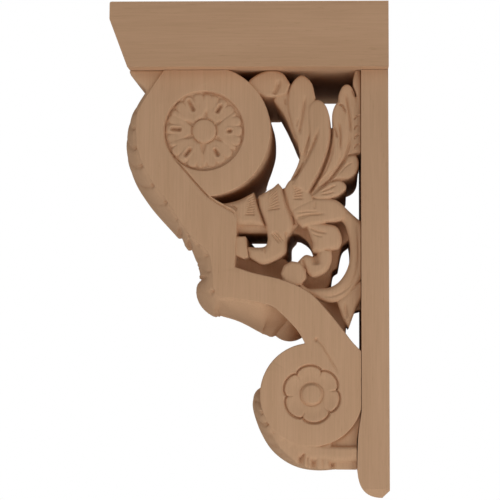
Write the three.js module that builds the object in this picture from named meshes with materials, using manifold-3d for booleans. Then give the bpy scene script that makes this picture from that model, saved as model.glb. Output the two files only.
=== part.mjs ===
// Carved wooden corbel bracket: a moulded cap block, an upright back plate and one carved scroll body.
// Millimetres, +Z up. X runs across the width, the wall face is the plane Y = 0 and the front points to -Y.
// Outlines are drawn from the side as [out, up]: out from the wall, up from the drawing's base line.

import * as THREE from "three";
import { mergeVertices } from "three/addons/utils/BufferGeometryUtils.js";
import Module from "manifold-3d";

const wasm = await Module();
wasm.setup();

// Driving sizes
const overallHeight = 333;
const overallWidth = 127;
const capHeight = 44.8;
const plateThickness = 18.5;
const carvingProjection = 167.4;
const capOverhang = 2.7;
const capSideOverhang = 9;
const jointGap = 0.3;

// Cap
const capFilletHeight = 12;
const capUndercut = 12.4;
const capEdgeEase = 1.5;

// Back plate
const plateFlare = 3;
const plateFlareUp = 50;
const footRoundHeight = 20;
const footRoundDepth = 16.5;
const footHeel = 5;
const footSideChamfer = 2.5;
const footSideChamferHeight = 6;

// Carving: how far each part of the side relief lies behind the side faces
const leafRecess = 3;
const collarRecess = 2;
const stemRecess = 4.5;
const budRecess = 2.5;
const groundRecess = 6;
const deepRecess = 18;
const rosetteFloor = 6;
const petalRecess = 1.8;
const buttonRecess = 0.8;

// Front leaf
const leafSideStep = 4;
const leafSetIn = 7;
const beadSpacing = 12.4;
const beadDepth = 1.8;
const leafStations = 54;
const lowerLeafStations = 24;
const leafColumns = 12;

// The drawing's own frame: what the outlines below were drawn to
const drawnPlateThickness = 18.5;
const drawnProjection = 165;
const drawnPlateHeight = 285;
const drawnFootUp = -0.5;

const plateHeight = overallHeight - capHeight;
const capDepth = plateThickness + carvingProjection + capOverhang;
const outScale = carvingProjection / drawnProjection;
const upScale = plateHeight / drawnPlateHeight;
const capHalfWidth = overallWidth / 2;
const halfWidth = capHalfWidth - capSideOverhang;
const originUp = plateHeight / 2;

const capWood = new THREE.MeshStandardMaterial({ color: 0xa9886c, roughness: 0.62, metalness: 0 });
const plateWood = new THREE.MeshStandardMaterial({ color: 0xa28166, roughness: 0.62, metalness: 0 });
const carvedWood = new THREE.MeshStandardMaterial({ color: 0x9f7e63, roughness: 0.66, metalness: 0 });

// A drawn point in the part's own frame: out from the wall and up from the foot
function real([out, up]) {
  return [plateThickness + (out - drawnPlateThickness) * outScale, (up - drawnFootUp) * upScale];
}

// A closed outline of stretches: a list of one point goes there straight, a longer list is a smooth curve
function outline(...stretches) {
  const shape = new THREE.Shape();
  const [first, ...others] = stretches;
  shape.moveTo(...real(first[0]));
  curveThrough(shape, first.slice(1));
  for (const stretch of others) {
    curveThrough(shape, stretch);
  }
  return shape;
}

function curveThrough(shape, stretch) {
  if (stretch.length === 1) {
    shape.lineTo(...real(stretch[0]));
  } else if (stretch.length > 1) {
    shape.splineThru(stretch.map((point) => new THREE.Vector2(...real(point))));
  }
}

function disc(centre, radius) {
  const shape = new THREE.Shape();
  const [out, up] = real(centre);
  shape.absellipse(out, up, radius * outScale, radius * upScale, 0, 2 * Math.PI);
  return shape;
}

// Turns an extrusion of a side outline so that it runs along X, and centres it
const sideFrame = new THREE.Matrix4().makeBasis(
  new THREE.Vector3(0, -1, 0),
  new THREE.Vector3(0, 0, 1),
  new THREE.Vector3(-1, 0, 0),
);

function sideGeometry(shape, reach, curveSegments) {
  const geometry = new THREE.ExtrudeGeometry(shape, {
    depth: 2 * reach,
    bevelEnabled: false,
    curveSegments,
  });
  geometry.translate(0, 0, -reach);
  return geometry.applyMatrix4(sideFrame);
}

function toSolid(geometry) {
  geometry.deleteAttribute("normal");
  geometry.deleteAttribute("uv");
  const merged = mergeVertices(geometry, 1e-4);
  return new wasm.Manifold(
    new wasm.Mesh({
      numProp: 3,
      vertProperties: Float32Array.from(merged.attributes.position.array),
      triVerts: Uint32Array.from(merged.index.array),
    }),
  );
}

function toMesh(solid, material, name) {
  const { vertProperties, triVerts } = solid.getMesh();
  const geometry = new THREE.BufferGeometry();
  geometry.setAttribute("position", new THREE.BufferAttribute(vertProperties, 3));
  geometry.setIndex(new THREE.BufferAttribute(triVerts, 1));
  geometry.computeVertexNormals();
  const mesh = new THREE.Mesh(geometry, material);
  mesh.name = name;
  return mesh;
}

// A slab of the side outline across the whole width, less a recess on each side
function slab(shape, recess = 0, curveSegments = 2) {
  return toSolid(sideGeometry(shape, halfWidth - recess, curveSegments));
}

function union(solids) {
  return solids.reduce((sum, solid) => sum.add(solid));
}

// Cap: level top, short upright fillet, then a straight slope back to the underside
function capShape() {
  const bottom = plateHeight;
  const top = overallHeight;
  const filletFoot = top - capFilletHeight;
  const shape = new THREE.Shape();
  shape.moveTo(0, bottom);
  shape.lineTo(capDepth - capUndercut, bottom);
  shape.lineTo(capDepth, filletFoot);
  shape.lineTo(capDepth, top - capEdgeEase);
  shape.quadraticCurveTo(capDepth, top, capDepth - capEdgeEase, top);
  shape.lineTo(0, top);
  return shape;
}

// Back plate: its front swells a little towards the foot and rounds under to a heel at the wall
function plateShape(gap) {
  const front = plateThickness + gap;
  const swollen = front + plateFlare;
  const shape = new THREE.Shape();
  shape.moveTo(0, plateHeight - jointGap);
  shape.lineTo(front, plateHeight - jointGap);
  shape.lineTo(front, plateFlareUp + footRoundHeight / 2);
  shape.bezierCurveTo(front, plateFlareUp, swollen, plateFlareUp, swollen, footRoundHeight);
  shape.quadraticCurveTo(swollen, 0, swollen - footRoundDepth, 0);
  shape.lineTo(0, footHeel);
  return shape;
}

// The plate's foot seen from the front, with its bottom side edges chamfered
function footTrim() {
  const shape = new THREE.Shape();
  shape.moveTo(-halfWidth, plateHeight);
  shape.lineTo(-halfWidth, footSideChamferHeight);
  shape.lineTo(footSideChamfer - halfWidth, 0);
  shape.lineTo(halfWidth - footSideChamfer, 0);
  shape.lineTo(halfWidth, footSideChamferHeight);
  shape.lineTo(halfWidth, plateHeight);
  const depth = 2 * (plateThickness + plateFlare);
  const geometry = new THREE.ExtrudeGeometry(shape, { depth, bevelEnabled: false });
  geometry.translate(0, 0, -depth / 2);
  geometry.rotateX(Math.PI / 2);
  return toSolid(geometry);
}

// Scroll: two drums joined by a flush band that runs down the front and back along the bottom
const upperDrum = { centre: [123.5, 243], radius: 44.5, floor: 27, button: 8.3, petals: 6 };
const lowerDrum = { centre: [51.5, 67], radius: 34, floor: 18.5, button: 6.8, petals: 6 };

// The band's outer edge as [out, up, rise]: rise is how far the leaf's midrib stands off the edge there
const bandFront = [
  [150, 286, 6], [160, 271, 8.5], [168.5, 256, 9.7], [169.5, 245, 12], [168.5, 232, 13], [164.5, 220, 13.5],
  [157, 207, 12.5], [148, 195.5, 11.5], [133, 173, 9], [121, 162, 12], [118, 150, 13], [117.5, 138, 16],
];
const bandUnderside = [
  [112, 131.5, 15], [104, 130.5, 13], [88, 128, 17], [77, 125, 19.5], [68, 117, 16], [60, 108, 0],
  [54, 97, 0],
];
const underLeafPoints = 5;
const lowerLeafEdge = [
  [84, 68, 3.5], [84, 56, 8], [79, 44, 9.5], [71, 35.5, 11.5], [60, 29, 12.5], [48, 26, 12], [34, 25, 10.5],
  [20, 25, 10],
];
const bandInside = [
  [15, 92], [24, 101], [31, 110], [40, 121], [50, 132], [60, 138.5], [73, 143.5], [90, 147.5], [102.5, 151.5],
];

function scrollBand() {
  return slab(
    outline(
      bandFront,
      bandUnderside,
      [[30, 70]],
      [[15, 80]],
      bandInside,
      [[101, 184]],
      [[103, 190], [110, 193.5], [120, 199.5], [127, 206]],
      [[124, 286]],
    ),
  );
}

// A rosette: a ring of petals round a button, standing in a sunk round floor on both sides
function petal(drum, index) {
  const inner = drum.button + 0.6;
  const outer = drum.floor - 0.8;
  const turn = (2 * Math.PI * index) / drum.petals;
  const spread = Math.PI / drum.petals;
  const steps = 8;
  const [out, up] = drum.centre;
  const at = (radius, angle) => [out + radius * Math.cos(turn + angle), up + radius * Math.sin(turn + angle)];
  const rim = Array.from({ length: steps + 1 }, (_, step) => {
    const share = (2 * step) / steps - 1;
    const fall = (outer - inner) * 0.4 * share * share;
    return at(outer - fall, share * spread * 0.88);
  });
  return slab(outline([at(inner, -spread * 0.6)], rim, [at(inner, spread * 0.6)]), petalRecess, 1);
}

function sunkFloor(drum) {
  const cutter = slab(disc(drum.centre, drum.floor), -1, 16);
  const kept = slab(disc(drum.centre, drum.floor + 1), rosetteFloor, 16);
  return cutter.subtract(kept);
}

function rosette(drum) {
  const petals = Array.from({ length: drum.petals }, (_, index) => petal(drum, index));
  return union([...petals, slab(disc(drum.centre, drum.button), buttonRecess, 8)]);
}

// The big acanthus leaf between the upper drum and the plate, lobe by lobe from the front to the wall
function bigLeaf() {
  const ground = outline(
    [[70, 202], [66, 210], [60.5, 222], [60, 231], [64, 247], [66, 262], [60, 274]],
    [[51, 270], [47, 256], [40, 246]],
    [[36, 248], [31, 262], [22, 266]],
    [[15, 266]],
    [[15, 230]],
    [[22, 226], [24, 218], [34, 209]],
    [[36, 199]],
    [[54, 195]],
  );
  const lobes = [
    outline([[60, 229], [61.5, 237], [65, 248], [67.6, 262], [65.5, 274.5], [59, 281.2], [52, 276.5], [49, 266]],
      [[53, 240]], [[57, 227]]),
    outline([[65, 206], [57, 222], [53, 238], [54.3, 256], [51, 263], [46, 264], [41.5, 259], [38.8, 248],
      [39, 236], [44, 221], [54, 201]]),
    outline([[50, 205], [44, 216], [39, 228], [37.8, 241], [37.8, 255], [34.5, 262.5], [30, 261.5], [27.6, 252],
      [28.6, 238], [34, 220]]),
    outline([[34, 259], [33.5, 268], [30, 274.5], [25, 273.5], [21, 262], [22, 244], [27, 226], [33, 222]]),
    outline([[22, 284.5], [24, 276], [21.5, 266], [24.5, 250], [25.5, 236], [24, 229]], [[15, 229]], [[15, 284.5]]),
    outline([[29, 224], [26, 227], [21.5, 226], [20, 220], [23, 213.5], [30, 210], [40, 209]]),
    outline([[40, 208.5], [34, 210], [29.3, 207.5], [29, 203.5], [36, 198.5], [46, 197], [52, 199]]),
  ];
  return union([slab(ground, groundRecess), ...lobes.map((lobe) => slab(lobe, leafRecess))]);
}

// The bud that fills the corner under the cap, with the plain lobe behind it
function topBud() {
  const dome = outline([[89, 269], [94, 276], [88, 282], [79, 284.5], [71, 282], [66, 275]],
    [[69, 268], [76, 266.5], [83, 266.5]]);
  const behind = outline([[74, 281], [66, 276], [65, 257], [60.5, 236]], [[64, 240], [70, 253.7], [77.5, 264.5]]);
  return union([slab(dome, budRecess), slab(behind, groundRecess)]);
}

// Overlapping collar leaves across the middle of the body, and the hook that turns back into the band
function collars() {
  const ground = outline([[106, 190], [92, 197], [74, 204], [60, 208], [40, 198]], [[34, 184]], [[60, 181]],
    [[70, 170]], [[80, 175]], [[106, 175]]);
  const floor = outline([[104, 166]], [[104, 150]], [[90, 146], [75, 142], [62, 138]], [[63, 150], [70, 158]],
    [[84, 162]]);
  const front = outline([[112, 194], [101, 196.5], [90.3, 202]], [[87, 192], [82, 179]], [[91, 181.5]], [[106, 181]]);
  const hook = outline(
    [[87.5, 199], [79, 204], [74, 208]],
    [[70.5, 203], [66, 190], [64, 181], [66.5, 174], [68.5, 161]],
    [[72, 158.5], [78, 155], [85, 153.5], [93, 157]],
    [[94.5, 165]],
    [[84, 165], [81, 169], [82, 178], [86.8, 192]],
  );
  const endBlock = outline([[104, 172]], [[95.5, 172]], [[93, 158]], [[104, 158]]);
  const rear = outline([[70.5, 203], [66, 210], [57, 213]], [[54, 205], [50, 196]], [[66, 188]]);
  return union([
    slab(ground, groundRecess),
    slab(floor, deepRecess),
    slab(front, collarRecess),
    slab(hook, collarRecess - 1),
    slab(endBlock, collarRecess),
    slab(rear, collarRecess + 1),
  ]);
}

// Two lobes that point to the wall, their curling stem, and the bud that the stem ends in
const budCentre = [63.5, 147];
const budRadius = 8.7;

function middleLobes() {
  const upper = outline([[66, 190], [52, 197], [38, 197], [31, 193.5], [28.5, 188], [31.5, 183], [43, 181], [58, 178]],
    [[63.5, 184]]);
  const lower = outline([[56, 182], [43, 181], [35, 178.8], [31.4, 171], [33, 164.5], [38, 163], [50, 161],
    [51, 168]]);
  const stem = outline([[50, 167], [40, 165], [38, 157], [42, 148.5], [51, 145], [57, 151]], [[62, 154]],
    [[56, 159.8], [50, 159], [46, 163]]);
  const ground = outline([[69, 188]], [[67, 172], [58.7, 169.4], [52.5, 164], [51, 157.5]],
    [[56, 154], [60, 148], [62, 142]], [[58, 136]], [[44, 135]], [[39.6, 141], [38, 149], [34.5, 152]],
    [[31.5, 166], [26, 172], [23, 184]], [[32, 190]]);
  return union([
    slab(ground, deepRecess),
    slab(upper, leafRecess),
    slab(lower, leafRecess + 1),
    slab(stem, stemRecess),
    slab(disc(budCentre, budRadius), budRecess, 5),
  ]);
}

// The round stem that bows from the lobes to the plate and back to the band, with a small hanging leaf
function ringStem() {
  const bow = outline([[31, 193.5], [22, 185], [15, 180]], [[15, 146]],
    [[19, 143], [28, 132], [38, 128], [48, 131], [60, 138]],
    [[60, 142]], [[54, 137.5], [46, 137.5], [39, 138.3], [32.3, 143], [27, 153], [26, 166], [29, 179], [33, 184]]);
  const small = outline([[34.7, 128.7], [33.5, 124.6], [31, 117.4], [27, 110.5]],
    [[24.1, 118.6], [20.5, 127.5], [15, 135.5]], [[15, 146]], [[26, 136]]);
  const ground = outline([[58, 136]], [[46, 126], [38, 114], [28.7, 104]],
    [[28.7, 110], [27.2, 116.6], [24.3, 121.7], [15, 124.5]], [[15, 140]], [[40, 134]]);
  return union([slab(bow, stemRecess), slab(small, stemRecess + 1), slab(ground, deepRecess)]);
}

// The side face fills the corner between the upper drum and the cap
function neck() {
  return slab(outline([[124, 286]], [[124, 262]], [[158, 264], [164.3, 272.5], [169.5, 277], [173.5, 281.5], [175, 286]]),
    leafRecess);
}

// Leaf ground under the lower drum, run on to the plate as a plain ledge
function lowerLeafGround() {
  const ground = outline([[84, 74], [87, 60], [83, 42], [70, 27.5], [57, 20], [40, 17.8]], [[15, 17.6]], [[15, 66]]);
  const ledge = outline([[85, 66], [84, 52], [76, 36], [62, 21.5], [50, 18.6], [40, 17.8]], [[15, 17.6]], [[15, 56]],
    [[36, 36]], [[55, 33], [70, 42], [79, 60]]);
  return union([slab(ground, groundRecess), slab(ledge, leafRecess)]);
}

// A leaf laid over an edge of the body: it follows the edge, rises to its midrib and is beaded along both sides
function leafOver(edge, stations) {
  const curve = new THREE.CatmullRomCurve3(edge.map((point) => new THREE.Vector3(...real(point), point[2])));
  const line = curve.getSpacedPoints(stations);
  const length = curve.getLength();
  const positions = [];
  for (let station = 0; station <= stations; station += 1) {
    const share = station / stations;
    const before = line[Math.max(station - 1, 0)];
    const after = line[Math.min(station + 1, stations)];
    const along = after.clone().sub(before).normalize();
    const outward = new THREE.Vector2(-along.y, along.x);
    const bead = Math.cos((2 * Math.PI * share * length) / beadSpacing);
    const reach = halfWidth - leafSideStep / 2 - (beadDepth * (1 + bead)) / 2;
    for (let column = 0; column <= leafColumns; column += 1) {
      const across = (2 * column) / leafColumns - 1;
      const crown = 1 - Math.abs(across) ** 2.2;
      const lobe = beadDepth * bead * Math.abs(across) * crown;
      const lift = line[station].z * crown - lobe;
      positions.push(across * reach, -(line[station].x + outward.x * lift), line[station].y + outward.y * lift);
    }
    for (let column = leafColumns; column >= 0; column -= 1) {
      const across = (2 * column) / leafColumns - 1;
      positions.push(across * reach, -(line[station].x - outward.x * leafSetIn),
        line[station].y - outward.y * leafSetIn);
    }
  }
  return toSolid(loftedSkin(positions, stations, 2 * (leafColumns + 1)));
}

// Skins a row of closed rings, each of the same count of points, with flat ends
function loftedSkin(positions, stations, ring) {
  const faces = [];
  for (let station = 0; station < stations; station += 1) {
    for (let step = 0; step < ring; step += 1) {
      const a = station * ring + step;
      const b = station * ring + ((step + 1) % ring);
      faces.push(a, a + ring, b, b, a + ring, b + ring);
    }
  }
  const last = stations * ring;
  for (let step = 0; step < ring / 2 - 1; step += 1) {
    const far = ring - 1 - step;
    faces.push(step, step + 1, far, step + 1, far - 1, far);
    faces.push(last + step, last + far, last + step + 1, last + step + 1, last + far, last + far - 1);
  }
  const geometry = new THREE.BufferGeometry();
  geometry.setAttribute("position", new THREE.Float32BufferAttribute(positions, 3));
  geometry.setIndex(faces);
  return geometry;
}

function frontLeaf() {
  return leafOver([...bandFront, ...bandUnderside.slice(0, underLeafPoints)], leafStations);
}

function lowerLeaf() {
  return leafOver(lowerLeafEdge, lowerLeafStations);
}

function carvedBody() {
  const drums = [upperDrum, lowerDrum];
  const whole = union([
    scrollBand(),
    ...drums.map((drum) => slab(disc(drum.centre, drum.radius), 0, 28)),
    neck(),
    bigLeaf(),
    topBud(),
    collars(),
    middleLobes(),
    ringStem(),
    lowerLeafGround(),
    frontLeaf(),
    lowerLeaf(),
  ]);
  const carved = drums.reduce((solid, drum) => solid.subtract(sunkFloor(drum)).add(rosette(drum)), whole);
  const plateSeat = toSolid(sideGeometry(plateShape(jointGap), overallWidth, 12));
  const capSeat = toSolid(new THREE.BoxGeometry(2 * overallWidth, 4 * capDepth, 2 * capHeight)
    .translate(0, 0, plateHeight - jointGap + capHeight));
  return carved.subtract(plateSeat).subtract(capSeat);
}

function backPlate() {
  return toSolid(sideGeometry(plateShape(0), halfWidth, 12)).intersect(footTrim());
}

const corbel = new THREE.Group();
corbel.name = "corbel";
corbel.add(toMesh(toSolid(sideGeometry(capShape(), capHalfWidth, 4)), capWood, "cap"));
corbel.add(toMesh(backPlate(), plateWood, "back_plate"));
corbel.add(toMesh(carvedBody(), carvedWood, "carved_body"));
corbel.position.z = -originUp;

export default corbel;
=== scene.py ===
import math

import bpy
import numpy as np
import openvdb
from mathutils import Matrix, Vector


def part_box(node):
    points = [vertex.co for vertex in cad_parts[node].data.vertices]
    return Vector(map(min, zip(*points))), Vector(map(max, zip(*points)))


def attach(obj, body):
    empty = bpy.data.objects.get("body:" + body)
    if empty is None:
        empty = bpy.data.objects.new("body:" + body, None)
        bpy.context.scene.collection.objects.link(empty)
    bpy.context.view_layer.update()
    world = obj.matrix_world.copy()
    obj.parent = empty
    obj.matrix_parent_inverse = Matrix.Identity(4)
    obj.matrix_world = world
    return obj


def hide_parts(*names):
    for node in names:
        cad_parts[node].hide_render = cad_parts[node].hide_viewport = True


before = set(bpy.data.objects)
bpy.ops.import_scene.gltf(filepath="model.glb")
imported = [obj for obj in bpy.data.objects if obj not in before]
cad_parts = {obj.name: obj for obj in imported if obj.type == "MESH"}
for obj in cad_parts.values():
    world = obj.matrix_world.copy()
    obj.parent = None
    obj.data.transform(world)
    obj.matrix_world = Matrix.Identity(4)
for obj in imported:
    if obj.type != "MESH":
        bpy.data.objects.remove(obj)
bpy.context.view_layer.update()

# The frame's boxes, in metres, and the part's sizes, in millimetres
MM = 0.001
_, BODY_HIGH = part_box("carved_body")
PLATE_LOW, PLATE_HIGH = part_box("back_plate")
CAP_LOW, CAP_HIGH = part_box("cap")
HALF_WIDTH = BODY_HIGH[0] / MM
PLATE_FOOT = PLATE_LOW[2] / MM
PLATE_FLARE = 3.0
JOINT_GAP = 0.3
CAP_OVERHANG = 2.7
PLATE_THICKNESS = -PLATE_LOW[1] / MM - PLATE_FLARE

# The side drawing, as in the part: out from the wall and up from its base line, scaled on to the frame
DRAWN_PLATE_THICKNESS = 18.5
DRAWN_PROJECTION = 165.0
DRAWN_PLATE_HEIGHT = 285.0
DRAWN_FOOT_UP = -0.5
OUT_SCALE = (-CAP_LOW[1] / MM - CAP_OVERHANG - PLATE_THICKNESS) / DRAWN_PROJECTION
UP_SCALE = ((PLATE_HIGH[2] - PLATE_LOW[2]) / MM + JOINT_GAP) / DRAWN_PLATE_HEIGHT
BODY_TOP_UP = DRAWN_FOOT_UP + (BODY_HIGH[2] / MM - PLATE_FOOT) / UP_SCALE

# The carving grid: its cell, the largest distance it keeps, and its span out and up in the side drawing
CELL = 0.45
FAR = 4.0
GRID_OUT = (16.0, 187.0)
GRID_UP = (11.0, 288.0)

# field is the distance to the carved surface, in layers from the middle plane to the side. cut is the depth
# that grooves take from the side of each form that is added after them
outs = np.arange(*GRID_OUT, CELL, dtype=np.float32)
ups = np.arange(*GRID_UP, CELL, dtype=np.float32)
layers = np.arange(0, HALF_WIDTH + 3 * CELL, CELL, dtype=np.float32)
OUT, UP = np.meshgrid(outs, ups, indexing="ij")
field = np.full((len(layers), len(outs), len(ups)), FAR, dtype=np.float32)
cut = np.zeros_like(OUT)


# Curves and distances in the side drawing

NO_LENGTH = 1e-9
GROOVE_MARGIN = 3.0
GROOVE_SPREAD = 0.55
GROOVE_OVERRUN = 0.02
SLAB_MARGIN = 2.6
SLAB_DEPTH_MARGIN = 3.0


def smooth_run(points, steps=6):
    """A Catmull-Rom curve through the points."""
    if len(points) < 3:
        return [tuple(point) for point in points]
    p = np.array(points, dtype=float)
    ends = np.vstack([2 * p[0] - p[1], p, 2 * p[-1] - p[-2]])
    run = []
    for k in range(len(p) - 1):
        a, b, c, d = ends[k:k + 4]
        for t in np.arange(steps) / steps:
            run.append(0.5 * (2 * b + (c - a) * t + (2 * a - 5 * b + 4 * c - d) * t ** 2
                              + (3 * b - 3 * c + d - a) * t ** 3))
    run.append(p[-1])
    return [tuple(point) for point in run]


def outline(*stretches):
    """A closed outline: each stretch runs on from the one before, straight for one point, else smooth."""
    points = smooth_run(stretches[0])
    for stretch in stretches[1:]:
        points += smooth_run([points[-1], *stretch])[1:]
    return np.array(points)


def disc(centre, radius, sides=72):
    """The outline of a disc."""
    turn = np.arange(sides) * 2 * math.pi / sides
    return np.stack([centre[0] + radius * np.cos(turn), centre[1] + radius * np.sin(turn)], axis=1)


def patch_of(points, pad):
    """The slice of the grid that holds the points with a margin."""
    low = np.min(points, axis=0) - pad
    high = np.max(points, axis=0) + pad
    i = slice(max(0, int((low[0] - GRID_OUT[0]) / CELL)), int((high[0] - GRID_OUT[0]) / CELL) + 2)
    j = slice(max(0, int((low[1] - GRID_UP[0]) / CELL)), int((high[1] - GRID_UP[0]) / CELL) + 2)
    return i, j


def line_distance(x, y, points, closed):
    """Distance to a line, the share of the way along it, and whether a closed one holds the point."""
    best = np.full_like(x, np.inf)
    share = np.zeros_like(x)
    side = np.zeros_like(x)
    inside = np.zeros(x.shape, dtype=bool)
    ends = list(zip(points, np.roll(points, -1, axis=0)))
    if not closed:
        ends = ends[:-1]
    for k, ((ax, ay), (bx, by)) in enumerate(ends):
        ex, ey = bx - ax, by - ay
        size = ex * ex + ey * ey
        if size < NO_LENGTH:
            continue
        wx, wy = x - ax, y - ay
        t = np.clip((wx * ex + wy * ey) / size, 0, 1)
        gap = (wx - t * ex) ** 2 + (wy - t * ey) ** 2
        nearer = gap < best
        best = np.where(nearer, gap, best)
        share = np.where(nearer, (k + t) / len(ends), share)
        turn = ex * wy - ey * wx
        side = np.where(nearer, turn, side)
        if closed:
            crosses = (ay <= y) != (by <= y)
            inside ^= crosses & ((turn > 0) == (by > ay))
    return np.sqrt(best), share, side, inside


def inside_distance(where, points):
    """Distance to a closed outline, less than nothing inside it."""
    distance, _, _, inside = line_distance(OUT[where], UP[where], points, True)
    return np.where(inside, -distance, distance)


def ease(value):
    """A smooth rise from 0 to 1 as the value goes from 0 to 1."""
    value = np.clip(value, 0, 1)
    return value * value * (3 - 2 * value)


def bell(value, spread):
    """1 where the value is 0, falling off smoothly to both sides."""
    return np.exp(-(value / spread) ** 2)


def groove(points, width, depth, fade=(0.25, 0.25)):
    """Cuts a groove along a curve into the forms that are added after it. fade is the share of its length that
    each end takes to reach the full depth.
    """
    line = np.array(smooth_run(points))
    where = patch_of(line, GROOVE_MARGIN * width)
    distance, share, _, _ = line_distance(OUT[where], UP[where], line, False)
    profile = depth * bell(distance, GROOVE_SPREAD * width)
    start = ease((share + GROOVE_OVERRUN) / fade[0]) if fade[0] else 1
    end = ease((1 + GROOVE_OVERRUN - share) / fade[1]) if fade[1] else 1
    cut[where] = np.maximum(cut[where], profile * start * end)


def rounded(a, b, radius):
    """The meeting of two faces, with a rounded corner."""
    corner = np.sqrt(np.maximum(a + radius, 0) ** 2 + np.maximum(b + radius, 0) ** 2)
    return np.minimum(np.maximum(a, b), -radius) + corner


def add_slab(points, recess, edge, crown=None):
    """Adds a form that runs across the whole width. recess is how far its sides lie in, edge is the radius of
    their edges, and crown is the height of a relief on the side face.
    """
    where = patch_of(points, SLAB_MARGIN)
    across = inside_distance(where, points)
    half = HALF_WIDTH - recess - cut[where]
    if crown is not None:
        half = half + crown[where]
    first = max(0, int((half.min() - edge - SLAB_DEPTH_MARGIN) / CELL))
    block = field[(slice(None), *where)]
    np.minimum(block[:first], across[None], out=block[:first])
    face = layers[first:, None, None] - half[None]
    np.minimum(block[first:], rounded(across[None], face, edge), out=block[first:])


# Forms of the side, as in the part: outlines in drawing millimetres

DEEP_RECESS = 18.0
UPPER_DRUM = (123.5, 243.0)
UPPER_RADIUS = 44.5
LOWER_DRUM = (51.5, 67.0)
LOWER_RADIUS = 34.0

BAND_FRONT = [
    (150, 286), (160, 271), (168.5, 256), (169.5, 245), (168.5, 232), (164.5, 220),
    (157, 207), (148, 195.5), (133, 173), (121, 162), (118, 150), (117.5, 138),
]
BAND_UNDER = [(112, 131.5), (104, 130.5), (88, 128), (77, 125), (68, 117), (60, 108), (54, 97)]
BAND_INSIDE = [
    (15, 92), (24, 101), (31, 110), (40, 121), (50, 132),
    (60, 138.5), (73, 143.5), (90, 147.5), (102.5, 151.5),
]


def polar(centre):
    """Radius and angle round a centre, the angle counted from the wall side towards the top."""
    across = centre[0] - OUT
    rise = UP - centre[1]
    return np.hypot(across, rise), np.degrees(np.arctan2(rise, across))


def turned(angle, middle):
    """How far the angle is from the middle, from -180 to 180 degrees."""
    return (angle - middle + 180) % 360 - 180


# The upper rosette: its sunk ring, its button and its petals. A petal's row is its middle angle, half spread,
# drop and reach, then how far out the middle of its slot lies, and half that slot's length
RING_FLOOR = -2.4
RING_RADIUS = 26.9
RING_WALL = 0.7
RIM_DEPTH = 1.6
BUTTON_RADIUS = 8.2
BUTTON_FACE = -0.4
PETAL_HEIGHT = 2.1
LOBE_TURN = 17
SLOT_DEPTH = 2.8
PETALS = [
    (57, 31, 0.5, 25.4, 18.1, 2.1), (-60, 34, 0.5, 25.2, 16.6, 1.8), (176, 28, 0.5, 26.0, 19.0, 2.4),
    (117, 38, 0.0, 26.3, 19.6, 3.2), (0, 34, 0.0, 26.0, 17.0, 0.6), (-127, 36, 0.0, 26.3, 18.0, 2.2),
]


def upper_rosette():
    """Height of the upper rosette over the drum's face: three wide petals over three narrow ones."""
    radius, angle = polar(UPPER_DRUM)
    height = np.where(radius < RING_RADIUS, RING_FLOOR * ease((RING_RADIUS - radius) / RING_WALL), 0.0)
    rim_line = 0.45 + 0.55 * ease((np.abs(turned(angle, -20)) - 50) / 40)
    for middle, spread, drop, reach, slot_at, slot_half in PETALS:
        turn = turned(angle, middle)
        # inset is how far a point lies inside the petal's sides, its lobed tip and its root at the button
        sector = radius * np.radians(spread) * np.minimum(1, 0.35 + 0.042 * radius)
        lateral = sector - np.abs(radius * np.radians(turn))
        lobes = np.abs(np.cos(np.radians(turn) * 180 / LOBE_TURN))
        tip = reach - 1.5 * (1 - lobes) ** 1.5 - 1.6 * (np.abs(turn) / spread) ** 4
        inner = radius - BUTTON_RADIUS - 0.1
        inset = np.minimum(np.minimum(lateral, (tip - radius) * 1.1), inner)
        # The petal is rounded at its edge and dished in its middle, with a vein between each two lobes
        dome = 1 - np.exp(-np.maximum(inset, 0) / 0.7)
        dish = 0.6 * bell(radius - 16.5, 5.0) * bell(turn, 0.5 * spread)
        veins = 0.8 * (1 - lobes) ** 4 * ease((radius - 19) / 4)
        body = RING_FLOOR + (PETAL_HEIGHT - drop) * dome - dish - veins
        height = np.where(inset > 0, np.maximum(height, body), height)
        # The slot, with a low lip round it
        past_slot = np.clip(radius, slot_at - slot_half, slot_at + slot_half) - radius
        slot = np.hypot(past_slot, radius * np.radians(turn))
        height = height - SLOT_DEPTH * bell(slot, 0.85)
        height = height + 0.5 * bell(slot - 2.2, 0.7) * (radius > BUTTON_RADIUS)
    centre = BUTTON_FACE - BUTTON_FACE * np.sqrt(np.maximum(0, 1 - (radius / BUTTON_RADIUS) ** 2))
    button = centre - 1.6 * ease((radius - BUTTON_RADIUS + 0.7) / 0.7)
    height = np.where(radius < BUTTON_RADIUS, button, height)
    return height - RIM_DEPTH * rim_line * bell(radius - RING_RADIUS + 0.3, 0.45)


# The lower flower: its centre, the angles of the notches between its lobes, and its radii
FLOWER = (51.4, 67.3)
FLOWER_NOTCHES = [-175, -112, -45, 9, 67, 127, 185]
FLOWER_REACH = 18.6
NOTCH_RADIUS = 15.9
LOBE_RISE = 3.0
FLOWER_BUTTON = 6.6


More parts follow.
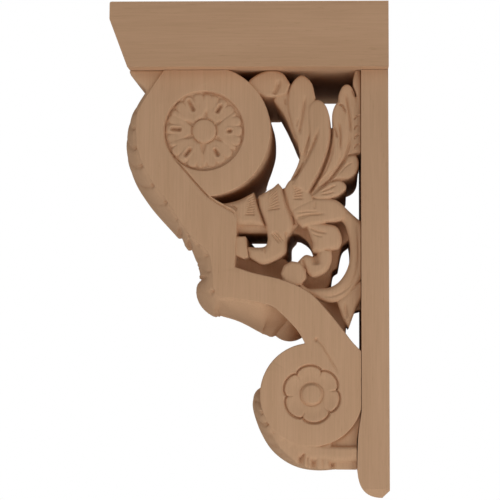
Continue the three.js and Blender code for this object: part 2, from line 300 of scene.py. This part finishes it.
def lower_rosette():
    """Height of the plain six-lobed flower on the lower drum."""
    radius, angle = polar(FLOWER)
    tip = np.full_like(radius, FLOWER_REACH)
    for low, high in zip(FLOWER_NOTCHES[:-1], FLOWER_NOTCHES[1:]):
        share = ((angle - low) % 360) / (high - low)
        lobe = NOTCH_RADIUS + LOBE_RISE * np.sqrt(np.sin(math.pi * np.clip(share, 0, 1)) + 1e-6)
        tip = np.where(share <= 1, lobe, tip)
    edge = tip - radius
    line = -2.6 * bell(edge + 0.2, 0.6)
    dish = np.where(edge > 0, -0.35 - 1.15 * ease(edge / 8), 0.0)
    button = 1.5 * ease((FLOWER_BUTTON + 0.6 - radius) / 1.6)
    centre = np.where(radius < FLOWER_BUTTON + 1, button, 0.0)
    ring = -0.9 * bell(radius - FLOWER_BUTTON - 0.9, 0.6)
    folds = np.zeros_like(radius)
    for notch in FLOWER_NOTCHES[:-1]:
        away = radius * np.radians(turned(angle, notch))
        folds -= 1.0 * bell(away, 0.6) * ease((radius - 10) / 5) * (edge > 0)
    return line + dish + centre + ring + folds


def scroll():
    """The flush band and its two drums, with the line where the band winds on to each drum."""
    crown = upper_rosette() + lower_rosette()
    groove([(144, 225.9), (142.6, 223.6), (135.2, 215.1), (127.7, 206.3), (120.6, 198.7)], 0.9, 2.0, (0, 0))
    groove([(120.6, 198.7), (116.3, 195.5), (109.6, 191.5), (103.6, 187.8), (102, 183)], 0.9, 1.2, (0, 0.3))
    groove([(48.5, 103.5), (45, 100), (42, 95), (39, 90), (35.5, 84), (33.5, 79)], 1.2, 1.0, (0.15, 0.3))
    groove([(49.5, 104.5), (47.5, 102)], 2.2, 1.4, (0.3, 0.3))
    band = outline(
        BAND_FRONT, BAND_UNDER, [(30, 70)], [(15, 80)], BAND_INSIDE[:1], BAND_INSIDE[1:],
        [(101, 184)], [(103, 190), (110, 193.5), (120, 199.5), (127, 206)], [(124, 286)],
    )
    for form in (band, disc(UPPER_DRUM, UPPER_RADIUS), disc(LOWER_DRUM, LOWER_RADIUS)):
        add_slab(form, 0.0, 0.7, crown)


def big_leaf():
    """The acanthus leaf between the upper drum and the plate: a ground and seven veined lobes."""
    groove([(55.6, 268), (57, 258), (59, 247), (60.3, 240)], 1.6, 1.7)
    groove([(60.5, 252), (61.8, 246)], 1.0, 0.9)
    groove([(46.5, 246), (49.5, 236), (55, 224), (61, 214), (65, 209)], 1.6, 2.2)
    groove([(48.6, 244), (52, 232), (58, 220), (64, 212)], 0.9, 1.2)
    groove([(38.6, 250), (38.3, 240), (40.5, 228), (45, 215), (49.5, 207), (54, 200)], 1.8, 4.6, (0.05, 0.2))
    groove([(37.5, 247), (35.5, 243), (34.2, 238)], 1.2, 2.0)
    groove([(33.4, 250), (32.3, 240), (32.3, 229)], 1.1, 1.6)
    groove([(36.5, 240), (38, 228), (42, 217), (48, 208)], 1.2, 1.4)
    groove([(33.5, 261.5), (30.8, 260), (28.6, 255)], 1.2, 2.2, (0.1, 0.3))
    groove([(28.8, 270), (27.5, 261), (25.8, 250), (25.5, 240)], 1.4, 1.7)
    groove([(25.6, 245), (26.3, 234), (29.5, 224), (35, 215.5), (41, 208.5), (50, 202)], 1.8, 2.6, (0.3, 0.2))
    groove([(24.3, 271), (22, 266)], 1.3, 1.7)
    for height in (253, 246.5, 240, 233.5):
        groove([(23.2, height - 2.6), (21.5, height), (18.8, height + 0.8)], 0.9, 1.3)
    groove([(30, 227.2), (25, 227), (20, 227.6)], 1.2, 1.7, (0.3, 0.05))
    groove([(24, 222), (29, 219), (34, 213)], 1.0, 0.8)
    groove([(28.5, 210.3), (34, 210.4), (40, 208.5)], 1.4, 1.9, (0.05, 0.3))
    groove([(35, 206.5), (40, 204), (46, 201.5)], 0.9, 1.2)
    groove([(36, 202), (41, 200.8), (46, 200)], 0.9, 1.0)

    ground = outline(
        [(70, 202), (66, 210), (60.5, 222), (60, 231), (64, 247), (66, 262), (60, 274)],
        [(51, 270), (47, 256), (40, 246)], [(36, 248), (31, 262), (22, 266)], [(15, 266)],
        [(15, 230)], [(22, 226), (24, 218), (34, 209)], [(36, 199)], [(54, 195)],
    )
    add_slab(ground, 4.2, 1.6)
    lobes = [
        (outline([(60, 229), (61.5, 237), (65, 248), (67.6, 262), (65.5, 274.5), (59, 281.2), (52, 276.5),
                  (49, 266)], [(53, 240)], [(57, 227)]), 2.4, 1.8),
        (outline([(65, 206), (57, 222), (53, 238), (54.3, 256), (51, 263), (46, 264), (41.5, 259),
                  (38.8, 248), (39, 236), (44, 221), (54, 201)]), 1.6, 1.8),
        (outline([(50, 205), (44, 216), (39, 228), (37.8, 241), (37.8, 255), (34.5, 262.5), (30, 261.5),
                  (27.6, 252), (28.6, 238), (34, 220)]), 2.6, 1.8),
        (outline([(34, 259), (33.5, 268), (30, 274.5), (25, 273.5), (21, 262), (22, 244), (27, 226),
                  (33, 222)]), 3.0, 1.9),
        (outline([(22, 286), (24, 276), (21.5, 266), (24.5, 250), (25.5, 236), (24, 229)], [(15, 229)],
                 [(15, 286)]), 3.2, 1.6),
        (outline([(29, 224), (26, 227), (21.5, 226), (20, 220), (23, 213.5), (30, 210), (40, 209)]),
         2.8, 1.9),
        (outline([(40, 208.5), (34, 210), (29.3, 207.5), (29, 203.5), (36, 198.5), (46, 197), (52, 199)]),
         2.4, 1.9),
    ]
    for form, recess, edge in lobes:
        add_slab(form, recess, edge)


def top_bud():
    """The bud in the corner under the cap and the plain lobe behind it."""
    groove([(72.8, 279), (74.8, 273), (77, 268)], 2.6, 2.2, (0.4, 0.1))
    groove([(69.5, 266), (69.3, 261)], 0.9, 1.2)
    dome = outline([(89, 269), (94.5, 276), (88, 282), (79, 285), (71, 282.5), (66, 275)],
                   [(69, 268), (76, 266.5), (83, 266.5)])
    behind = outline([(74, 281), (66, 276), (65, 257), (60.5, 236)],
                     [(63.8, 240), (69.8, 253.7), (77.5, 264.5)])
    add_slab(dome, 2.0, 2.2)
    add_slab(behind, 4.5, 3.0)


def neck():
    """The side face that fills the corner between the upper drum and the cap."""
    corner = outline([(124, 286)], [(124, 262)],
                     [(158, 264), (164.3, 272.5), (169.5, 277), (173.5, 281.5), (175, 286)])
    add_slab(corner, 1.6, 2.6)


# The cuts on each collar leaf: how many there are, and the ends of the first and the last
COLLAR_CUTS = [
    (8, ((97, 186.8), (88.8, 186.8)), ((95.6, 195.522), (88.8, 200.226))),
    (9, ((83.5, 196.2), (74.5, 209.1)), ((82.3, 189.5), (72.3, 191))),
    (6, ((64.5, 197.5), (57.2, 197.5)), ((64.5, 204.25), (57.2, 208.75))),
]


def hatching():
    """Fine gouge cuts that fan out from the tips of the collar leaves."""
    for count, first, last in COLLAR_CUTS:
        for t in np.linspace(0, 1, count):
            groove((1 - t) * np.array(first) + t * np.array(last), 1.2, 1.3, (0.35, 0.2))
    for step in range(3):
        groove([(79.2 - 1.6 * step, 174.5 + 0.6 * step), (72.4 - 1.6 * step, 167 + 0.6 * step)], 1.1, 1.2)
    groove([(68.6, 175), (68.4, 164)], 1.1, 1.7, (0.1, 0.3))
    groove([(66.6, 174), (66.2, 163)], 0.9, 0.9)
    groove([(82.6, 168), (82.6, 160)], 0.9, 0.9)
    groove([(84, 167.5), (84.2, 161.5)], 0.8, 0.7)
    groove([(80.6, 167), (80.8, 161)], 0.8, 0.4)


def collars():
    """Overlapping collar leaves across the middle, and the hook that turns back to the band."""
    groove([(88.2, 201), (87, 193), (84, 184), (82, 179)], 1.5, 3.0, (0.1, 0.05))
    groove([(71, 204.5), (68.5, 194), (65.5, 186.5), (63.2, 180)], 1.5, 2.8, (0.1, 0.1))
    groove([(101.4, 189), (102.6, 191.3), (106, 193)], 1.0, 1.2)
    hatching()
    ground = outline([(106, 190), (92, 197), (74, 204), (60, 208), (40, 198)], [(34, 184)], [(60, 181)],
                     [(70, 170)], [(80, 174.8)], [(106, 174.8)])
    floor = outline([(104, 166)], [(104, 150)], [(90, 146), (75, 142), (62, 138)], [(63, 150), (70, 158)],
                    [(84, 162)])
    front = outline([(112, 194), (101, 196.5), (90.3, 202)], [(87, 192), (82, 179)],
                    [(91, 179.5)], [(106, 179)])
    hook = outline(
        [(87.5, 199), (79, 204), (74, 208)],
        [(70.5, 203), (65.5, 189), (63.9, 182), (65, 175.5), (68.3, 171), (68.7, 163)],
        [(70.5, 159.5), (78, 155), (85, 153.5), (93, 158)], [(94.5, 165)],
        [(84, 165), (81, 169), (82, 178), (86.8, 192)],
    )
    end_block = outline([(104, 172)], [(95.5, 172)], [(93.5, 158)], [(97, 157)], [(104, 160)])
    rear = outline([(70.5, 203), (66, 210), (57, 213)], [(54, 205), (50, 196)], [(66, 188)])
    add_slab(ground, 7.0, 4.5)
    add_slab(floor, DEEP_RECESS, 2.0)
    add_slab(front, 1.6, 4.5)
    add_slab(hook, 0.9, 3.8)
    add_slab(end_block, 1.6, 1.5)
    add_slab(rear, 2.4, 2.0)


BUD = (63.5, 147.0)
BUD_RADIUS = 8.7


def middle_lobes():
    """Two lobes that point to the wall, their curling stem and its bud."""
    groove([(63, 184.5), (54, 186.5), (42, 187.3)], 1.5, 1.3)
    groove([(62, 187.8), (54, 188.7), (46, 188.8)], 1.2, 0.8)
    groove([(64, 183), (58, 184.5), (54, 185.5)], 1.0, 0.8)
    groove([(45, 181.4), (39, 180.9), (35, 179.8)], 1.4, 2.0, (0.4, 0.05))
    groove([(54, 178.5), (48, 175.8), (41, 174.2)], 1.5, 1.3)
    groove([(52, 174.5), (47.5, 172.5), (44, 172)], 1.0, 0.7)
    groove([(49.5, 196), (49.8, 190)], 1.4, 0.7)
    groove([(50.5, 164), (49, 158), (48.5, 152.5)], 4.2, 4.0, (0.3, 0.3))
    groove([(44, 163.4), (38.5, 163.2)], 1.2, 1.1, (0.4, 0.05))
    groove([(57.5, 156.5), (55.5, 149)], 1.5, 1.8, (0.1, 0.1))
    upper = outline([(66, 190), (52, 197.3), (38, 197.3), (31, 193.5), (28.5, 188), (31.5, 183), (43, 181),
                     (58, 178)], [(63.5, 184)])
    lower = outline([(56, 182), (43, 181), (35, 178.8), (31.4, 171), (33, 164.5), (38, 163), (50, 161),
                     (51, 168)])
    stem = outline([(50, 167), (40, 165), (38, 157), (42, 148.5), (51, 145), (57, 151)], [(62, 154)],
                   [(56, 159.8), (50, 159), (46, 163)])
    ground = outline([(69, 188)], [(67, 177), (60.5, 174.4), (54.5, 169.5), (51, 160.5)],
                     [(56, 154), (60, 148), (62, 142)], [(58, 136)], [(44, 135)],
                     [(39.6, 141), (38, 149), (34.5, 152)], [(31.5, 166), (26, 172), (23, 184)], [(32, 190)])
    add_slab(ground, DEEP_RECESS, 2.0)
    add_slab(upper, 2.2, 3.0)
    add_slab(lower, 3.2, 3.4)
    add_slab(stem, 4.0, 3.6)
    add_slab(disc(BUD, BUD_RADIUS, 9), 2.2, 2.4)


def ring_stem():
    """The round stem that bows from the lobes to the plate and back to the band, with a small leaf."""
    groove([(22, 183), (20.5, 170), (20.5, 155), (24, 142), (32, 134.5), (41, 132), (50, 134.5)], 1.6, 0.8)
    groove([(29.5, 128), (28.6, 122), (28.2, 117)], 1.8, 1.6, (0.3, 0.3))
    bow = outline(
        [(31, 193.5), (22, 185), (15, 180)], [(15, 146)],
        [(19, 143), (28, 132), (38, 128), (48, 131), (60, 138)], [(60, 142)],
        [(54, 137.5), (46, 137.5), (39, 138.3), (32.3, 143), (27, 153), (26, 166), (29, 179), (33, 184)],
    )
    small = outline([(34.7, 128.7), (33.5, 124.6), (31, 117.4), (27, 110.5)],
                    [(24.1, 118.6), (20.5, 127.5), (15, 135.5)], [(15, 146)], [(26, 136)])
    ground = outline([(58, 136)], [(46, 126), (38, 114), (28.7, 104)],
                     [(28.7, 110), (27.2, 116.6), (24.3, 121.7), (15, 124.5)], [(15, 140)], [(40, 134)])
    add_slab(ground, DEEP_RECESS, 2.0)
    add_slab(bow, 4.0, 3.4)
    add_slab(small, 4.6, 2.8)


def lower_ground():
    """Ground under the lower drum with a ribbed leaf end, run on to the plate as a plain recessed ledge."""
    for out, lean in ((58.0, 1.6), (50.0, 0.3), (38.6, -1.0)):
        groove([(out - lean, 33), (out, 27), (out + 0.6 * lean, 17)], 3.0, 4.6, (0.3, 0))
    groove([(54, 30), (54.2, 18)], 1.4, 1.2, (0.3, 0))
    groove([(44.5, 30), (44.2, 18)], 1.6, 1.0, (0.3, 0))
    groove([(17, 66), (21, 55), (27, 45), (35, 38), (45, 33.5)], 3.0, 2.2, (0.05, 0.5))
    ledge = outline([(85, 66), (84, 52), (76, 36), (62, 21.5), (50, 18.4), (40, 17.6)],
                    [(15, 17.4)], [(15, 66)], [(40, 60)])
    ribs = outline([(80, 44), (74, 33.5), (64, 24), (56, 19.2), (48, 18.0), (38.5, 18.2)], [(38.5, 36)],
                   [(50, 34), (66, 40)])
    add_slab(ledge, 4.2, 2.0)
    add_slab(ribs, 1.0, 2.8)


# Leaves laid over the body's edge, in the frame of that edge: along it, off it and across the width

# A rise is how far the leaf stands off each point of its edge. A pit is where a crease ends at the side, with
# its strength, and a notch is a small step in the leaf's outline
FRONT_EDGE = BAND_FRONT + BAND_UNDER[:5]
FRONT_RISE = [6, 8.3, 8.8, 11.8, 13, 13.1, 12.4, 12, 8.3, 13.2, 12.3, 15.6, 13.7, 12.5, 17.3, 20, 16.2]
LOWER_EDGE = [(84.3, 61.5), (84, 56), (79, 44), (71, 35.5), (60, 29), (48, 26), (34, 25), (20, 25)]
LOWER_RISE = [8, 8.5, 9.4, 12.1, 13.3, 12.7, 10.8, 10.3]
PITS = [
    (168.5, 256, 0.5), (169.5, 245, 0.6), (168.5, 232, 1), (164.5, 220, 1), (157, 207, 1), (148, 195.5, 0.7),
    (140, 184, 0.25), (133, 173, 0.3), (126, 166.5, 0.2), (120.5, 160, 0.25), (118, 149, 0.2), (116, 136, 0.5),
]
NOTCHES = [(143.8, 174.6), (138.5, 163.4), (128.5, 145), (114.5, 121.7), (78, 107)]
LOWER_PITS = [(84, 55, 0.7), (81, 47, 1), (78, 40.5, 0.6), (71.5, 35.5, 1), (64.5, 31.5, 1), (57, 28, 0.5)]

# How deep a leaf is sunk into the body, how far off the edge it is worked out, and its relief
LEAF_SET_IN = 8.0
LEAF_REACH_OFF = 21.0
LEAF_MARGIN = 22.0
LEAF_EDGE = 2.4
LEAF_SIDE = 0.5
NOTCH_DIP = 2.6
MIDRIB_HEIGHT = 1.3
MIDRIB_SPREAD = 2.6
MIDRIB_GROOVE_AT = 5.2
MIDRIB_GROOVE_SPREAD = 1.3
VEIN_START = 6.0
PIT_DEPTH = 5.0
PIT_IN = 3.2


def edge_frame(edge, rises):
    """The edge line and its length at each point, then along, off and rise for the grid points near it, and
    which grid points those are.
    """
    line = np.array(smooth_run([(*point, rise) for point, rise in zip(edge, rises)], 10))
    where = patch_of(line[:, :2], LEAF_MARGIN)
    distance, share, side, _ = line_distance(OUT[where], UP[where], line[:, :2], False)
    off = np.where(side > 0, distance, -distance)
    steps = np.hypot(*np.diff(line[:, :2], axis=0).T)
    length = np.concatenate([[0], np.cumsum(steps)])
    position = share * (len(line) - 1)
    along = np.interp(position, np.arange(len(line)), length)
    rise = np.interp(position, np.arange(len(line)), line[:, 2])
    near = (off > -LEAF_SET_IN - 2) & (off < LEAF_REACH_OFF)
    grid = np.zeros(OUT.shape, dtype=bool)
    grid[where] = near
    return line, length, along[near], off[near], rise[near], grid


def station(line, length, point):
    """How far along the line the nearest point to this one is."""
    gaps = np.hypot(line[:, 0] - point[0], line[:, 1] - point[1])
    return length[int(np.argmin(gaps))]


def lay_leaf(edge, rises, pits, notches, reach_of, vein_run):
    """Adds a leaf over an edge line, with a midrib and with a vein that runs to each pit. reach_of gives its
    half width from the share of the way along. vein_run is how far before its pit a vein leaves the midrib.
    """
    line, length, along, off, rise, grid = edge_frame(edge, rises)
    pit_stations = [(station(line, length, point), depth) for *point, depth in pits]
    pit_reach = HALF_WIDTH - PIT_IN
    notch_stations = [station(line, length, point) for point in notches]
    dip = np.zeros_like(along)
    for place in notch_stations:
        behind = along - place
        dip += NOTCH_DIP * bell(behind, np.where(behind < 0, 1.0, 3.0))
    reach = reach_of(along / length[-1])
    flat = field.reshape(len(layers), -1)
    columns = np.flatnonzero(grid.ravel())
    for layer, x in enumerate(layers):
        share = np.minimum(x / reach, 1.0)
        crown = (1 - share ** 2.4) ** 0.8
        lift = rise * crown - dip * ease(crown * 1.4)
        lift += MIDRIB_HEIGHT * bell(x, MIDRIB_SPREAD) - bell(x - MIDRIB_GROOVE_AT, MIDRIB_GROOVE_SPREAD)
        for place, depth in pit_stations:
            out_share = min(x / pit_reach, 1.0)
            vein = along - place + vein_run * (1 - out_share) ** 1.25
            lift -= depth * (0.3 + 1.2 * out_share) * bell(vein, 1.2) * min(x / VEIN_START, 1)
            lift += 0.4 * out_share * bell(vein - 4.5, 3.2)
            pit = np.hypot((along - place) / 0.9, (x - pit_reach) / 1.6)
            lift -= PIT_DEPTH * depth * bell(pit, 1)
        value = rounded(np.maximum(off - lift, -LEAF_SET_IN - off), x - reach, LEAF_EDGE)
        flat[layer, columns] = np.minimum(flat[layer, columns], value)


def front_leaf():
    """The long leaf from the cap down over the corner of the band, narrower towards its end."""
    def reach_of(share):
        taper = np.clip((share - 0.86) / 0.14, 0, 1)
        return (HALF_WIDTH - LEAF_SIDE) * np.sqrt(1 - 0.72 * taper ** 2)
    lay_leaf(FRONT_EDGE, FRONT_RISE, PITS, NOTCHES, reach_of, 26.0)


def lower_leaf():
    """The short leaf over the lower drum, narrower where it starts."""
    def reach_of(share):
        taper = np.clip((0.08 - share) / 0.08, 0, 1)
        return (HALF_WIDTH - LEAF_SIDE) * np.sqrt(1 - 0.4 * taper ** 2)
    lay_leaf(LOWER_EDGE, LOWER_RISE, LOWER_PITS, [], reach_of, 18.0)


# The body over the plate and under the cap

FLARE_TOP = 60.0
FLARE_HEIGHT = 26.0


def seat_on_neighbours():
    """Trims the field to the plate's front face, the cap's underside and the side planes."""
    up_from_foot = (UP - DRAWN_FOOT_UP) * UP_SCALE
    flare = PLATE_FLARE * ease((FLARE_TOP - up_from_foot) / FLARE_HEIGHT)
    wall = DRAWN_PLATE_THICKNESS + (JOINT_GAP + flare) / OUT_SCALE - OUT
    roof = UP - BODY_TOP_UP
    np.maximum(field, np.maximum(wall, roof)[None], out=field)
    np.maximum(field, (layers - HALF_WIDTH)[:, None, None], out=field)


OPENING_MARGIN = 2.0
OPENING_SHIFT = 6.0
SHIFT_FROM = 10.0


def far_side():
    """The mirror image of the field, its opening beside the upper drum cut straighter towards the far face."""
    cutter = outline([(84.4, 268)], [(84.4, 255)], [(83.3, 242), (83.2, 236), (85.2, 228), (88.2, 217)],
                     [(70, 215)], [(70, 268)])
    mirrored = field.copy()
    where = patch_of(cutter, OPENING_MARGIN)
    block = mirrored[(slice(None), *where)]
    shrink = OPENING_SHIFT * (1 - np.clip((layers - SHIFT_FROM) / (HALF_WIDTH - 2 * SHIFT_FROM), 0, 1))
    np.maximum(block, -inside_distance(where, cutter)[None] - shrink[:, None, None], out=block)
    return mirrored[:0:-1]


def mesh_from_field(name):
    """The closed surface of the field and of its far side, as a mesh object in metres."""
    whole = np.concatenate([far_side(), field])
    grid = openvdb.FloatGrid(FAR)
    grid.copyFromArray(np.clip(whole, -FAR, FAR))
    points, quads = grid.convertToQuads()
    across, out, up = points.astype(np.float64).T * CELL
    out = PLATE_THICKNESS + (out + GRID_OUT[0] - DRAWN_PLATE_THICKNESS) * OUT_SCALE
    up = PLATE_FOOT + (up + GRID_UP[0] - DRAWN_FOOT_UP) * UP_SCALE
    place = np.stack([across - (len(layers) - 1) * CELL, -out, up], axis=1) * MM
    mesh = bpy.data.meshes.new(name)
    mesh.vertices.add(len(place))
    mesh.vertices.foreach_set("co", place.ravel())
    mesh.loops.add(quads.size)
    mesh.loops.foreach_set("vertex_index", quads.ravel().astype(np.int32))
    mesh.polygons.add(len(quads))
    mesh.polygons.foreach_set("loop_start", np.arange(0, quads.size, 4, dtype=np.int32))
    mesh.update(calc_edges=True)
    piece = bpy.data.objects.new(name, mesh)
    bpy.context.scene.collection.objects.link(piece)
    return piece


TRIANGLES = 190000
SHARP_ANGLE = math.radians(38)


def apply_modifiers(piece):
    """Makes the modified mesh the piece's own."""
    graph = bpy.context.evaluated_depsgraph_get()
    mesh = bpy.data.meshes.new_from_object(piece.evaluated_get(graph))
    piece.modifiers.clear()
    piece.data = mesh


def carve():
    """The carved body, from its forms to its finished mesh."""
    scroll()
    neck()
    big_leaf()
    top_bud()
    collars()
    middle_lobes()
    ring_stem()
    lower_ground()
    front_leaf()
    lower_leaf()
    seat_on_neighbours()
    piece = mesh_from_field("carved_scroll")
    reduce = piece.modifiers.new("reduce", "DECIMATE")
    reduce.ratio = min(1.0, TRIANGLES / (2 * len(piece.data.polygons)))
    apply_modifiers(piece)
    piece.data.shade_smooth()
    piece.data.set_sharp_from_angle(angle=SHARP_ANGLE)
    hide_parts("carved_body")
    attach(piece, "root")
    return piece


# Materials

# Each noise of the wood: its scale across the grain and along it, its detail and its seed
FIGURE_NOISE = (55, 5, 3, 2.0)
FIBRE_NOISE = (900, 28, 4, 5.0)
PORE_NOISE = (1900, 90, 2, 9.0)
SURFACE_NOISE = (1100, 40, 3, 7.0)
WHITE = (1, 1, 1)
FIBRE_SHADE = (0.86, 0.84, 0.82)
PORE_SHADE = (0.72, 0.66, 0.6)


def wood(name, grain, light, dark):
    """Sanded bare hardwood. grain is the axis that its fibres run along: 0, 1 or 2."""
    material = bpy.data.materials.new(name)
    material.use_nodes = True
    nodes = material.node_tree.nodes
    links = material.node_tree.links
    shader = nodes["Principled BSDF"]
    shader.inputs["Roughness"].default_value = 0.75
    shader.inputs["Specular IOR Level"].default_value = 0.08
    place = nodes.new("ShaderNodeTexCoord")

    def stretched_noise(across, along, detail, seed):
        scale = [across] * 3
        scale[grain] = along
        mapping = nodes.new("ShaderNodeMapping")
        mapping.inputs["Scale"].default_value = scale
        mapping.inputs["Location"].default_value = (seed, seed * 0.7, seed * 1.3)
        noise = nodes.new("ShaderNodeTexNoise")
        noise.inputs["Scale"].default_value = 1.0
        noise.inputs["Detail"].default_value = detail
        links.new(place.outputs["Object"], mapping.inputs["Vector"])
        links.new(mapping.outputs["Vector"], noise.inputs["Vector"])
        return noise.outputs["Fac"]

    def ramp(source, low, high, colours):
        node = nodes.new("ShaderNodeValToRGB")
        node.color_ramp.elements[0].position = low
        node.color_ramp.elements[1].position = high
        node.color_ramp.elements[0].color = (*colours[0], 1)
        node.color_ramp.elements[1].color = (*colours[1], 1)
        links.new(source, node.inputs["Fac"])
        return node.outputs["Color"]

    def multiply(factor, a, b):
        node = nodes.new("ShaderNodeMix")
        node.data_type = "RGBA"
        node.blend_type = "MULTIPLY"
        node.inputs["Factor"].default_value = factor
        links.new(a, node.inputs["A"])
        links.new(b, node.inputs["B"])
        return node.outputs["Result"]

    figure = ramp(stretched_noise(*FIGURE_NOISE), 0.3, 0.7, (light, dark))
    fibres = ramp(stretched_noise(*FIBRE_NOISE), 0.35, 0.75, (WHITE, FIBRE_SHADE))
    pores = ramp(stretched_noise(*PORE_NOISE), 0.66, 0.74, (WHITE, PORE_SHADE))
    colour = multiply(0.55, figure, fibres)
    colour = multiply(0.45, colour, pores)
    links.new(colour, shader.inputs["Base Color"])
    bump = nodes.new("ShaderNodeBump")
    bump.inputs["Strength"].default_value = 0.25
    bump.inputs["Distance"].default_value = 0.0002
    links.new(stretched_noise(*SURFACE_NOISE), bump.inputs["Height"])
    links.new(bump.outputs["Normal"], shader.inputs["Normal"])
    return material


def linear(red, green, blue):
    """A colour from 0 to 255 values, as linear light."""
    return tuple(((v / 255 + 0.055) / 1.055) ** 2.4 for v in (red, green, blue))


LIGHT_WOOD = linear(221, 181, 147)
DARK_WOOD = linear(213, 173, 139)
LIGHT_PLATE = linear(219, 180, 147)
DARK_PLATE = linear(211, 172, 139)
CAP_WOOD = wood("cap_wood", 1, LIGHT_WOOD, DARK_WOOD)
PLATE_WOOD = wood("plate_wood", 2, LIGHT_PLATE, DARK_PLATE)
CARVED_WOOD = wood("carved_wood", 2, LIGHT_WOOD, DARK_WOOD)
BOARD_EDGE = 1.1
BOARD_SHARP_ANGLE = math.radians(40)


def dress_boards():
    """Gives the cap and the plate their wood and eases their edges."""
    for name, material in (("cap", CAP_WOOD), ("back_plate", PLATE_WOOD)):
        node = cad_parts[name]
        for place in node.material_slots:
            place.material = material
        bevel = node.modifiers.new("eased edges", "BEVEL")
        bevel.width = BOARD_EDGE * MM
        bevel.segments = 3
        bevel.limit_method = "ANGLE"
        bevel.angle_limit = BOARD_SHARP_ANGLE
        bevel.harden_normals = True


# Stage, light and camera

# The floor lies this far under the plate's foot and reaches this far each way, in metres
FLOOR_DROP = 0.6
FLOOR_HALF = 2.5


def floor():
    """A plain pale floor."""
    material = bpy.data.materials.new("pale_floor")
    material.use_nodes = True
    shader = material.node_tree.nodes["Principled BSDF"]
    shader.inputs["Base Color"].default_value = (0.93, 0.93, 0.93, 1)
    shader.inputs["Roughness"].default_value = 0.9
    shader.inputs["Specular IOR Level"].default_value = 0.0
    level = PLATE_LOW[2] - FLOOR_DROP
    corners = [(x * FLOOR_HALF, y * FLOOR_HALF, level) for x, y in ((-1, -1), (1, -1), (1, 1), (-1, 1))]
    mesh = bpy.data.meshes.new("floor")
    mesh.from_pydata(corners, [], [(0, 1, 2, 3)])
    plane = bpy.data.objects.new("floor", mesh)
    mesh.materials.append(material)
    bpy.context.scene.collection.objects.link(plane)


WORLD_STRENGTH = 0.25
LOW_GLOW = (1.0, 0.97, 0.93, 1)
HIGH_GLOW = (0.6, 0.58, 0.56, 1)


def studio_world():
    """A white backdrop that lights the scene softly: brightest low down, dimmer overhead."""
    world = bpy.data.worlds.new("studio")
    world.use_nodes = True
    nodes = world.node_tree.nodes
    links = world.node_tree.links
    place = nodes.new("ShaderNodeTexCoord")
    axes = nodes.new("ShaderNodeSeparateXYZ")
    span = nodes.new("ShaderNodeMapRange")
    span.inputs["From Min"].default_value = -1.0
    span.inputs["From Max"].default_value = 1.0
    ramp = nodes.new("ShaderNodeValToRGB")
    ramp.color_ramp.elements[0].position = 0.5
    ramp.color_ramp.elements[0].color = LOW_GLOW
    ramp.color_ramp.elements[1].position = 1.0
    ramp.color_ramp.elements[1].color = HIGH_GLOW
    links.new(place.outputs["Generated"], axes.inputs["Vector"])
    links.new(axes.outputs["Z"], span.inputs["Value"])
    links.new(span.outputs["Result"], ramp.inputs["Fac"])
    glow = nodes["Background"]
    glow.inputs["Strength"].default_value = WORLD_STRENGTH
    links.new(ramp.outputs["Color"], glow.inputs["Color"])
    backdrop = nodes.new("ShaderNodeBackground")
    backdrop.inputs["Color"].default_value = (1, 1, 1, 1)
    path = nodes.new("ShaderNodeLightPath")
    mix = nodes.new("ShaderNodeMixShader")
    links.new(path.outputs["Is Camera Ray"], mix.inputs["Fac"])
    links.new(glow.outputs["Background"], mix.inputs[1])
    links.new(backdrop.outputs["Background"], mix.inputs[2])
    links.new(mix.outputs["Shader"], nodes["World Output"].inputs["Surface"])
    bpy.context.scene.world = world


# Each lamp's place in metres, size in metres and power in watts
LAMPS = [
    ("key", (1.4, -0.7, 0.9), 0.9, 3.0),
    ("fill", (0.7, 0.85, -0.55), 0.9, 6.2),
    ("bounce", (0.35, -0.35, -0.7), 1.2, 4.2),
]
LAMP_AIM = Vector((0, -0.09, 0.0))
LAMP_COLOUR = (1.0, 0.97, 0.93)


def lights():
    """Soft lamps on the photographed side, with the plain view transform that keeps the backdrop white."""
    bpy.context.scene.view_settings.view_transform = "Standard"
    for name, place, size, power in LAMPS:
        data = bpy.data.lights.new(name, "AREA")
        data.size = size
        data.energy = power
        data.color = LAMP_COLOUR
        lamp = bpy.data.objects.new(name, data)
        lamp.location = place
        lamp.rotation_euler = (LAMP_AIM - Vector(place)).to_track_quat("-Z", "Y").to_euler()
        bpy.context.scene.collection.objects.link(lamp)


# The photograph's view, in millimetres from the mount: the camera looks at the cap's side plane. FOOT_PIXEL is
# the point of the photograph that it stands square in front of, and AXIS_PIXEL is where its lens axis meets it
PIXEL_MM = 0.6645
CAMERA_DISTANCE = 800.0
CAMERA_OUT = 32.9
CAMERA_UP = -43.0
FOOT_PIXEL = (340.0, 345.0)
AXIS_PIXEL = (325.0, 255.0)
FRAME_PIXELS = 500.0
SENSOR = 36.0
CLIP_START = 0.05


def camera():
    """The photograph's camera."""
    side = CAP_HIGH[0] / MM
    aside = (FOOT_PIXEL[0] - AXIS_PIXEL[0]) * PIXEL_MM
    above = (FOOT_PIXEL[1] - AXIS_PIXEL[1]) * PIXEL_MM
    place = Vector((side + CAMERA_DISTANCE, -CAMERA_OUT, CAMERA_UP))
    aim = Vector((side, -CAMERA_OUT - aside, CAMERA_UP + above))
    data = bpy.data.cameras.new("camera")
    data.sensor_width = SENSOR
    data.lens = (aim - place).length / PIXEL_MM / FRAME_PIXELS * SENSOR
    data.shift_x = (FRAME_PIXELS / 2 - AXIS_PIXEL[0]) / FRAME_PIXELS
    data.shift_y = (AXIS_PIXEL[1] - FRAME_PIXELS / 2) / FRAME_PIXELS
    data.clip_start = CLIP_START
    eye = bpy.data.objects.new("camera", data)
    eye.location = place * MM
    eye.rotation_euler = (aim - place).to_track_quat("-Z", "Y").to_euler()
    bpy.context.scene.collection.objects.link(eye)
    bpy.context.scene.camera = eye


camera()
studio_world()
lights()
floor()
dress_boards()
carve().data.materials.append(CARVED_WOOD)
